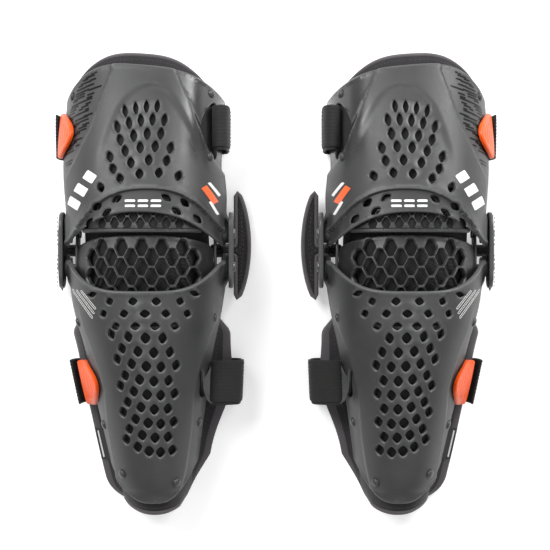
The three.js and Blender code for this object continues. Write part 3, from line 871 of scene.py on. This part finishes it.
def seam(loop, surface, depth):
    """A row of stitches along a closed flat line, on a surface at a depth."""
    marks = resample(loop, STITCH_PITCH)
    far = marks + (np.roll(marks, -1, 0) - marks) * (STITCH_LENGTH / STITCH_PITCH)
    depths = np.full(len(marks), depth)
    a, b = surface(marks, depths), surface(far, depths)
    return stitches(a, b, surface(marks, depths - 1) - a)


def flare(points, flat):
    """Turns the shin pad's rim out, most beside the lower strap on the medial side, and in at the tip."""
    turn, y = flat[:, 0] / FLAT, flat[:, 1]
    start = math.radians(82.5)
    share = np.clip((np.abs(turn) - start) / (LINER_RIM - start), 0, 1.3) ** 1.25
    medial = 8 * bump_at(y + 96, 38) - 0.36 * np.clip(-163 - y, 0, None)
    lateral = -0.0125 * np.clip(-183 - y, 0, None) ** 2
    out = 10.5 * ramp(-y, 22, 48) + np.where(turn > 0, medial, lateral)
    near_rim = ramp(np.abs(turn), math.radians(42), math.radians(80))
    points[:, 0] += np.sign(turn) * np.where(out > 0, share, near_rim) * out
    return points


def on_shin_pad(flat, depth):
    return flare(on_arch(flat, depth), flat)


def liners():
    thigh = band_outline(thigh_liner_low, thigh_liner_top, LINER_RIM, 8)
    shin = band_outline(shin_liner_tip, shin_liner_top, LINER_RIM, 36)

    thigh_channels = sewn_channels(34, 84, 150)
    shin_channels = sewn_channels(36, 88, -100)

    for body, outline, channels, surface in (("thigh", thigh, thigh_channels, on_arch),
                                             ("shin", shin, shin_channels, on_shin_pad)):
        place_cloth(body + "_pad", pad_sheet(outline, 4.1, 11, channels, surface), LINER_CLOTH_AND_SHADE, body,
                    replaces=[body + "_liner"], padded=0.7)
        place_cloth(body + "_pad_binding", binding(outline, 7.5, surface), BINDING, body)
        rows = joined(*(seam(inset(outline, 4.0), surface, depth) for depth in (4.15, 11.1)))
        place_cloth(body + "_pad_stitches", rows, THREAD, body)


def scrims():
    """Dark mesh cloth behind the vents that the pads leave open, on both sides of the knee opening."""
    def cloth(name, low, high, rim, depth, body):
        outline = band_outline(low, high, math.radians(rim))
        mesh = sheet(outline, [], 3.0, level(on_arch, depth), level(on_arch, depth + 0.6), steps_in=(0.5,))
        place_cloth(name, mesh, MESH_CLOTH, body)

    cloth("brow_mesh_cloth", lambda turn: 48.5 + 0 * turn, lambda turn: thigh_liner_low(turn) - 0.6,
          50, 9.2, "thigh")
    cloth("sill_mesh_cloth", lambda turn: shin_liner_top(turn) + 0.6, lambda turn: sill_edge(turn) - 3.5,
          52, 5.0, "shin")


def knee_cushion():
    def low(turn):
        return -10 + 16 * knee_across(turn) ** 4

    outline = band_outline(low, lambda turn: 62 + 0 * turn, math.radians(80), 8)

    pad = pad_sheet(outline, 16.5, 22.5, sewn_channels(30, 78, 26), edge_round=2.8)
    place_cloth("knee_cushion", pad, MESH_CLOTH, "knee", replaces=["knee_pad"], padded=0.7)


# ---- Wings ----

WING = {"root": 80, "root_z": 21, "slope": 0.5, "thick": 6, "neck": 60, "neck_from": 28, "neck_to": 35}


def wing_pieces(side, inner, outer, y_from, y_to, tape_width):
    """A wing's pad with its mesh window, its binding and its stitches. It is a lens beyond the link, with a
    neck to the knee cushion."""
    share = np.linspace(-1, 1, 60)
    middle, half = (y_from + y_to) / 2, (y_to - y_from) / 2
    lens = np.stack([inner + (outer - inner) * (1 - share**2) ** 0.8, middle + half * share], 1)
    neck = [(inner, WING["neck_to"]), (WING["neck"], WING["neck_to"]),
            (WING["neck"], WING["neck_from"]), (inner, WING["neck_from"])]
    outline = rounded(np.vstack([lens, neck]), 3)

    def surface(flat, depth):
        z = WING["root_z"] - WING["slope"] * (flat[:, 0] - WING["root"]) - depth
        return np.stack([HINGE_MIDDLE + side * flat[:, 0], flat[:, 1], z], 1)

    def front(flat, edge, drop):
        return surface(flat, softened(edge, 3.0) + 1.0 * ramp(edge, 5.5, 7.0))

    def back(flat, edge):
        return surface(flat, WING["thick"] - softened(edge, 3.0))

    mesh = sheet(outline, [], 2.5, front, back, steps_in=PAD_STEPS_IN)
    tape = binding(outline, WING["thick"] / 2, surface, tape_width, 3.4)
    rows = seam(inset(outline, 4.6), surface, 0.0)
    return [turned(piece, side < 0) for piece in (mesh, tape, rows)]


def wings():
    for name, *values in (("medial", 1, 83.2, 93.9, -14, 87, 2.2), ("lateral", -1, 82.4, 84.9, -6, 68, 1.6)):
        mesh, tape, rows = wing_pieces(*values)
        wing = name + "_knee_wing"
        place_cloth(wing, mesh, MESH_CLOTH, "knee", replaces=[name + "_wing"], padded=0.6)
        place_cloth(wing + "_binding", tape, BINDING, "knee")
        place_cloth(wing + "_stitches", rows, THREAD, "knee")


# ---- Links, pins and rivets ----

LINK = {"inner": 76.4, "outer": 80.6, "radius": 14, "overhang": 6}
PIVOTS = {"lower": LOWER_PIVOT, "upper": UPPER_PIVOT}
PIN = {"shank": 2.6, "outer": 80.9, "inner": 62.3}


def lathe(profile, origin, axis, sides=32):
    """A closed turned solid from (radius, height) pairs that start and end on the axis."""
    axis = np.array(axis, float) / np.linalg.norm(axis)
    helper = np.array([0, 0, 1.0]) if abs(axis[2]) < 0.9 else np.array([1.0, 0, 0])
    u = np.cross(helper, axis)
    u /= np.linalg.norm(u)
    v = np.cross(axis, u)
    angles = np.arange(sides) * 2 * math.pi / sides
    points = [origin + axis * profile[0][1]]
    for radius, height in profile[1:-1]:
        points += [origin + axis * height + radius * (math.cos(a) * u + math.sin(a) * v) for a in angles]
    points.append(origin + axis * profile[-1][1])
    last = len(points) - 1
    faces = [(0, 1 + i, 1 + (i + 1) % sides) for i in range(sides)]
    for j in range(len(profile) - 3):
        a, b = 1 + j * sides, 1 + (j + 1) * sides
        faces += [(a + i, b + i, b + (i + 1) % sides, a + (i + 1) % sides) for i in range(sides)]
    a = 1 + (len(profile) - 3) * sides
    faces += [(last, a + (i + 1) % sides, a + i) for i in range(sides)]
    return np.array(points), faces


def side_link(side):
    """A side link: a rounded bar over both pins, with a sunk pocket and a rib along it."""
    outline = np.array(arc_round(LOWER_PIVOT - LINK["overhang"], LINK["radius"], 0.5, 1.5, 24)
                       + arc_round(UPPER_PIVOT + LINK["overhang"], LINK["radius"], -0.5, 0.5, 24))

    def pocket(flat, edge):
        near_pin = np.minimum(*(np.hypot(flat[:, 0] - y, flat[:, 1] - PIVOT_Z) for y in PIVOTS.values()))
        rib = bump_at(flat[:, 1] - PIVOT_Z, 1.4)
        return -1.1 * ramp(edge, 3.0, 4.0) * ramp(near_pin, 7.4, 8.4) * (1 - rib)

    return plate_across(resample(outline, 1.8), side, LINK["outer"], LINK["inner"], 1.3, pocket)


def hinge_pin():
    """A pin's profile along X: a domed head with a socket outside, and a flat head inside."""
    shank, outer, inner = PIN["shank"], PIN["outer"], PIN["inner"]
    return [(0, inner - 1.5), (3.8, inner - 1.5), (4.4, inner - 1.1), (4.5, inner), (shank, inner + 0.1),
            (shank, outer - 0.1), (5.0, outer), (4.9, outer + 0.6), (4.3, outer + 1.4), (3.4, outer + 1.8),
            (2.1, outer + 1.7), (1.9, outer + 0.5), (0, outer + 0.5)]


def links_and_pins():
    boss = [(0, 69.5), (9, 69.5), (9, 75.2), (8.4, 76.0), (0, 76.0)]
    for name, side in (("medial", 1), ("lateral", -1)):
        place(name + "_side_link", side_link(side), LINK_PLASTIC, "knee", "link",
              replaces=[name + "_hinge_link"], sharp=34)
        for end, y in PIVOTS.items():
            node = name + "_" + end
            pivot, out = np.array([HINGE_MIDDLE, y, PIVOT_Z]), (side, 0, 0)
            place(node + "_pin", lathe(hinge_pin(), pivot, out), STEEL, "knee", "fastener",
                  replaces=[node + "_hinge_pin"])
            place(node + "_boss", lathe(boss, pivot, out), SHELL_PLASTIC,
                  "shin" if end == "lower" else "thigh", "shell")


RIVETS = {
    "thigh": {"medial_top": (177, 55), "medial_low": (117, 54), "lateral": (175, -60)},
    "shin": {"medial_top": (-31, 63), "lateral_top": (-35, -64), "medial_mid": (-129, 66),
             "lateral_mid": (-131, -62), "medial_tip": (-182, 31), "lateral_tip": (-174, -35)},
}


def rivets():
    """The rivets' heads, each at its Y and its turn in degrees, upright on its shell."""
    profile = [(0, -0.6), (4.3, -0.6), (4.35, 0.3), (4.1, 0.8), (3.6, 0.85), (3.4, 1.3), (2.5, 1.8),
               (1.2, 2.05), (0, 2.1)]
    for body, relief in (("thigh", thigh_relief), ("shin", shin_relief)):
        for name, (y, degrees) in RIVETS[body].items():
            turn = math.radians(degrees)
            around = [on_arch(np.array([[(turn + dt) * FLAT, y + dy]]), 0)[0] for dt, dy in
                      ((0, 0), (0.01, 0), (-0.01, 0), (0, 1), (0, -1))]
            out = np.cross(around[1] - around[2], around[3] - around[4])
            out /= np.linalg.norm(out)
            foot = around[0] + out * (float(relief(around[0][0], around[0][1])) + 0.3)
            node = body + "_rivet_" + name
            head = lathe(profile, foot, out, 24)
            place(node + "_head", head, RIVET_BLACK, body, "fastener", replaces=[node])


# ---- Straps and clips ----

STRAP = {"thick": 2.2, "width": 42, "fold_width": 38.5}
CLIP = {"low": 73.2, "reach": 24.6, "tip": 1.6, "length": 43}


def smooth_path(corners, step):
    """A curve through corners, with even steps."""
    corners = np.array(corners, float)
    ends = np.vstack([2 * corners[0] - corners[1], corners, 2 * corners[-1] - corners[-2]])
    pieces = []
    for a, b, c, d in zip(ends, ends[1:], ends[2:], ends[3:]):
        t = np.linspace(0, 1, 16, endpoint=False)[:, None]
        square, cube = (2 * a - 5 * b + 4 * c - d) * t**2, (3 * b - a - 3 * c + d) * t**3
        pieces.append(0.5 * (2 * b + (c - a) * t + square + cube))
    fine = np.vstack(pieces + [corners[-1:]])
    length = lengths_along(fine)[-1]
    return at_lengths(fine, np.linspace(0, length, max(2, round(length / step))))


def laid(points, y, slant):
    """Points of a strap moved to follow the leg's taper, mostly on the lateral side, and its slant."""
    scale = along(points[:, 1], "half") / along(y, "half") - 1
    x = points[:, 0].copy()
    points[:, 0] = x * (1 + scale * np.where(x > 0, 0.15, 1.0))
    points[:, 1] += slant * x
    return points


def band(line, y, slant, width, thick, lift=0.0, shift=0.0, ribs=13):
    """A strap along a line in X and Z, with lengthways ribs and rounded edges."""
    tangent = np.gradient(line, axis=0)
    tangent /= np.linalg.norm(tangent, axis=1)[:, None]
    out = np.stack([-tangent[:, 1], tangent[:, 0]], 1)
    places = np.linspace(-width / 2, width / 2, 4 * ribs + 1)
    edge = width / 2 - np.abs(places)
    half = thick / 2 - softened(edge, 0.9) - 0.14 * (1 - np.cos(2 * math.pi * ribs * places / width))
    section = np.concatenate([np.stack([places, half], 1), np.stack([places, -half], 1)[::-1][1:-1]])
    count = len(section)
    points = np.zeros((len(line), count, 3))
    points[:, :, 1] = y + shift + section[:, 0]
    points[:, :, (0, 2)] = line[:, None] + out[:, None] * (section[:, 1] + lift)[:, None]
    faces = grid_faces(len(line), count, False, True)
    faces += [tuple(range(count))[::-1], tuple((len(line) - 1) * count + k for k in range(count))]
    return laid(points.reshape(-1, 3), y, slant), faces


def strap_rows(line, y, slant, width, lift, at):
    """Rows of stitches across a strap, at shares of its line."""
    starts, ends, outs = [], [], []
    tangent = np.gradient(line, axis=0)
    for share in at:
        k = int(share * (len(line) - 1))
        t = tangent[k] / np.linalg.norm(tangent[k])
        out = np.array([-t[1], 0, t[0]])
        for place_at in np.arange(-width / 2 + 2.4, width / 2 - 4.4, 3.4):
            foot = np.array([line[k, 0], y + place_at, line[k, 1]]) + out * lift
            starts.append(foot)
            ends.append(foot + [0, 2.3, 0])
            outs.append(out)
    return stitches(laid(np.array(starts), y, slant), laid(np.array(ends), y, slant), np.array(outs))


def clip_depth(share):
    """How many degrees a clip reaches round the flank, for shares of its length."""
    return CLIP["tip"] + (CLIP["reach"] - CLIP["tip"]) * (1 - (2 * share - 1) ** 2) ** 0.95


def clip_sheet(y, stand_off):
    """A half-moon hook clip on the lateral flank: rounded, with a raised rim and grip ribs."""
    low, length = CLIP["low"], CLIP["length"]
    foot = -math.radians(low) * FLAT
    share = (1 - np.cos(np.linspace(0, math.pi, 60))) / 2
    moon = np.stack([-np.radians(low - clip_depth(share)) * FLAT, y + length * (share - 0.5)], 1)
    outline = rounded(np.vstack([[(foot, y - length / 2)], moon, [(foot, y + length / 2)]]), 3, 1.2)

    def lifted(flat, depth):
        here = clip_depth(np.clip((flat[:, 1] - y) / length + 0.5, 0, 1))
        u = np.clip((low + np.degrees(flat[:, 0] / FLAT)) / here, 0, 1)
        return on_arch(flat, depth - stand_off * (1 - u) ** 2)

    def front(flat, edge, drop):
        ribs = 0.55 * ramp(edge, 5.0, 6.2) * (0.5 - 0.5 * np.cos(2 * math.pi * (flat[:, 0] - foot) / 6.4))
        return lifted(flat, -4.6 + softened(edge, 1.5) - 0.5 * bump_at(edge - 2.6, 1.0) - ribs)

    return sheet(outline, [], 1.7, front, level(lifted, -1.4))


def straps_and_clips():
    """Each strap's line, in X and Z, runs from its slot over the medial rim, across the back to its clip."""
    upper = [(63.5, 46), (64.6, 53), (68, 58.2), (72.0, 57.2), (74.8, 51), (75.6, 40), (75.9, 24), (76.0, 12),
             (74.0, 4.8), (68, 1.1), (40, 1.1), (0, 1.1), (-40, 1.1), (-72, 1.1), (-80.2, 4.8), (-83.4, 13),
             (-84.6, 22), (-84.8, 31)]
    lower = [(61, 42), (63, 45.4), (69, 45.6), (79, 41.5), (86.0, 36), (88.0, 29), (87.6, 18), (87.2, 10),
             (83.2, 2.9), (77.6, 1.1), (40, 1.1), (0, 1.1), (-50, 1.1), (-59, 1.5), (-64.6, 6), (-66.6, 15),
             (-67.2, 24), (-67, 35)]
    for name, corners, y, slant, body, stand_off, fold_part in (
            ("upper", upper, 142, 0.042, "thigh", 1.5, slice(4, 32)),
            ("lower", lower, -92, 0.0, "shin", 7, slice(1, 36))):
        line = smooth_path(corners, 1.6)
        place(name + "_band", band(line, y, slant, STRAP["width"], STRAP["thick"]), ELASTIC, body, "strap",
              replaces=[name + "_strap"], sharp=50)
        over = line[fold_part]
        fold = band(over, y, slant, STRAP["fold_width"], 1.6, 1.9, 1.2, 12)
        place(name + "_band_fold", fold, ELASTIC, body, "strap", sharp=50)
        rows = strap_rows(over, y + 1.2, slant, STRAP["fold_width"], 2.7, (0.86, 0.94))
        place(name + "_band_stitches", rows, THREAD, body, "strap", sharp=60)
        place(name + "_hook", clip_sheet(y - 80.5 * slant, stand_off), CLIP_ORANGE, name + "_clip", "clip",
              replaces=[name + "_clip"], sharp=34)


def strap_bracket():
    """The moulded bracket between the shin shell's slot and the lower strap."""
    corners = [(53, -89), (53, -96.5), (56.5, -108), (61.5, -112.5), (66, -112.5), (66, -71.5),
               (62.5, -71.5), (56.5, -84)]
    outline = rounded(np.array(corners, float), 3)

    def at(depth):
        return lambda flat, edge, drop=0: np.stack(
            [flat[:, 0], flat[:, 1], 48.6 - 0.22 * (flat[:, 0] - 52) - depth(edge)], 1)

    front = at(lambda edge: softened(edge, 1.1) + 0.7 * ramp(edge, 2.4, 3.2))
    mesh = sheet(outline, [], 2.0, front, at(lambda edge: 3.0))
    place("lower_strap_bracket", mesh, RIVET_BLACK, "shin", "strap", sharp=34)


# ---- Prints and labels ----

def decal(corners, relief):
    """A thin print on a shell, from corners seen from the front."""
    loop = resample(np.array(corners, float), 1.8)
    outline = flattened(loop[:, 0], loop[:, 1])
    if np.cross(outline[1] - outline[0], outline[len(outline) // 2] - outline[0]) < 0:
        outline = outline[::-1]

    def surface(flat, depth):
        return on_arch(flat, depth - lift_at(relief, flat))

    return sheet(outline, [], 2.0, level(surface, -0.14), level(surface, 0.5), steps_in=(0.5,))


def slanted_bar(x, y, width, length, lean):
    """A bar's corners: its middle, how wide and long it is, and which way it runs."""
    c, s = math.cos(math.radians(lean)), math.sin(math.radians(lean))
    a, b = length / 2, width / 2
    return [(x + a * c - b * s, y + a * s + b * c) for a, b in ((-a, -b), (a, -b), (a, b), (-a, b))]


def place_prints(name, bars, relief, material, body):
    place(name, joined(*(decal(bar, relief) for bar in bars)), material, body, "shell")


def prints():
    """Plain bars stand where the real guards carry names, and a plain hatch where they carry a pattern."""
    dice = np.random.default_rng(7)
    hatch = []
    for row in range(36):
        y = 96 + row * 2.8
        edge = -beside(DOME_LEFT, 0, y)
        rim = -74.5 + 3 * ramp(y, 140, 160) + 6 * ramp(y, 160, 178) + 12 * ramp(y, 178, 196)
        x = rim + dice.uniform(0, 2)
        while x < edge - 5:
            length = dice.uniform(4, 15)
            if x + length < edge - 1.6:
                hatch.append(slanted_bar(x + length / 2, y, 1.7, length, 16))
            x += length + dice.uniform(1.4, 3.0)
    place_prints("thigh_hatch", hatch, thigh_relief, BLACK_INK, "thigh")
    white = [slanted_bar(-60.9 + 8.2 * k, 73.5 + 11.6 * k, 8.6, 12.5 - k, -33) for k in range(3)]
    white += [slanted_bar(-9 + 11.8 * k, y, 2.1, 9.6, 0) for k in range(3) for y in (70.2, 74.8)]
    white += [slanted_bar(62.5, 87, 2.4, 15, -50), slanted_bar(64.0, 69.5, 2.4, 14, -56)]
    place_prints("thigh_bars", white, thigh_relief, WHITE_INK, "thigh")
    place_prints("thigh_accent", [slanted_bar(59.4, 81.4, 5.2, 18, -52)], thigh_relief, ORANGE_INK, "thigh")
    shin = [slanted_bar(-53.5 + 3.2 * k, -17.5 + 1.8 * k, 1.1, 34 - 6 * k, -48) for k in range(3)]
    place_prints("shin_bars", shin, shin_relief, WHITE_INK, "shin")


def box_outline(x_from, x_to, y_from, y_to):
    """A rectangle's corners, counter-clockwise, with even steps between them."""
    corners = [(x_from, y_from), (x_to, y_from), (x_to, y_to), (x_from, y_to)]
    return resample(np.array(corners, float), 1.5)


def labels():
    """Blank woven labels on the lateral side: one on the shin pad's rim, one at the knee wing."""
    def patch(degrees_from, degrees_to, y_from, y_to, lift):
        x_from, x_to = -math.radians(degrees_to) * FLAT, -math.radians(degrees_from) * FLAT
        return sheet(box_outline(x_from, x_to, y_from, y_to), [], 2.0, level(on_shin_pad, 3.0 - lift),
                     level(on_shin_pad, 4.6), steps_in=(0.5,))

    place("size_label", patch(82.8, 88.4, -168, -138, 0.0), LABEL, "shin", "liner")
    marks = joined(patch(84.0, 84.5, -166, -140, 0.25), patch(87.0, 87.5, -166, -140, 0.25))
    place("size_label_lines", marks, LABEL_WHITE, "shin", "liner")
    for name, material, y_from, y_to in (("tag_top", LABEL, 26, 54), ("tag_red", LABEL_RED, 20.3, 25.7),
                                         ("tag_end", LABEL, 12, 20)):
        tag = plate_across(box_outline(y_from, y_to, 26, 38), -1, 83.4, 82.6, 0.3)
        place(name, tag, material, "knee", "liner")


# ---- Camera, light and floor ----

LIGHTS = {"key": ((-0.9, 0.9, 1.3), 0.9, 30), "fill": ((0.5, -0.4, 1.6), 1.4, 7),
          "side": ((0.85, 0.85, 0.65), 0.45, 14)}  # place and size in metres, and watts
GUARDS_MIDDLE = (0, 0, 0.05)
FLOOR_REACH = 4.0


def camera_and_light():
    """The camera straight above the guards, white surroundings and three soft lights."""
    scene = bpy.context.scene
    camera = bpy.data.cameras.new("camera")
    camera.sensor_width = 36
    camera.lens = 105
    seen = bpy.data.objects.new("camera", camera)
    seen.location = (-0.001, 0.0084, 1.54)
    scene.collection.objects.link(seen)
    scene.camera = seen
    world = bpy.data.worlds.new("studio")
    world.use_nodes = True
    world.node_tree.nodes["Background"].inputs["Color"].default_value = (1, 1, 1, 1)
    world.node_tree.nodes["Background"].inputs["Strength"].default_value = 0.5
    scene.world = world
    for name, (place_at, size, power) in LIGHTS.items():
        light = bpy.data.lights.new(name, "AREA")
        light.size = size
        light.energy = power
        lamp = bpy.data.objects.new(name, light)
        lamp.location = place_at
        lamp.rotation_euler = (Vector(GUARDS_MIDDLE) - Vector(place_at)).to_track_quat("-Z", "Y").to_euler()
        scene.collection.objects.link(lamp)
    scene.view_settings.view_transform = "Standard"


def floor():
    mesh = bpy.data.meshes.new("floor")
    corners = [(a * FLOOR_REACH, b * FLOOR_REACH, 0) for a, b in ((-1, -1), (1, -1), (1, 1), (-1, 1))]
    mesh.from_pydata(corners, [], [(0, 1, 2, 3)])
    m = Material("floor_white")
    m.set(Base_Color=m.mix(m.range(m.noise(3, 2), 0, 1), (0.86, 0.86, 0.86), (0.88, 0.88, 0.88)),
          Roughness=0.8, Emission_Color=(1, 1, 1, 1), Emission_Strength=0.3)
    mesh.materials.append(m.data)
    stage = bpy.data.objects.new("floor", mesh)
    bpy.context.scene.collection.objects.link(stage)


camera_and_light()
floor()
thigh_shell()
shin_shell()
patella_cup()
mesh_panel()
liners()
scrims()
knee_cushion()
wings()
links_and_pins()
straps_and_clips()
strap_bracket()
rivets()
prints()
labels()
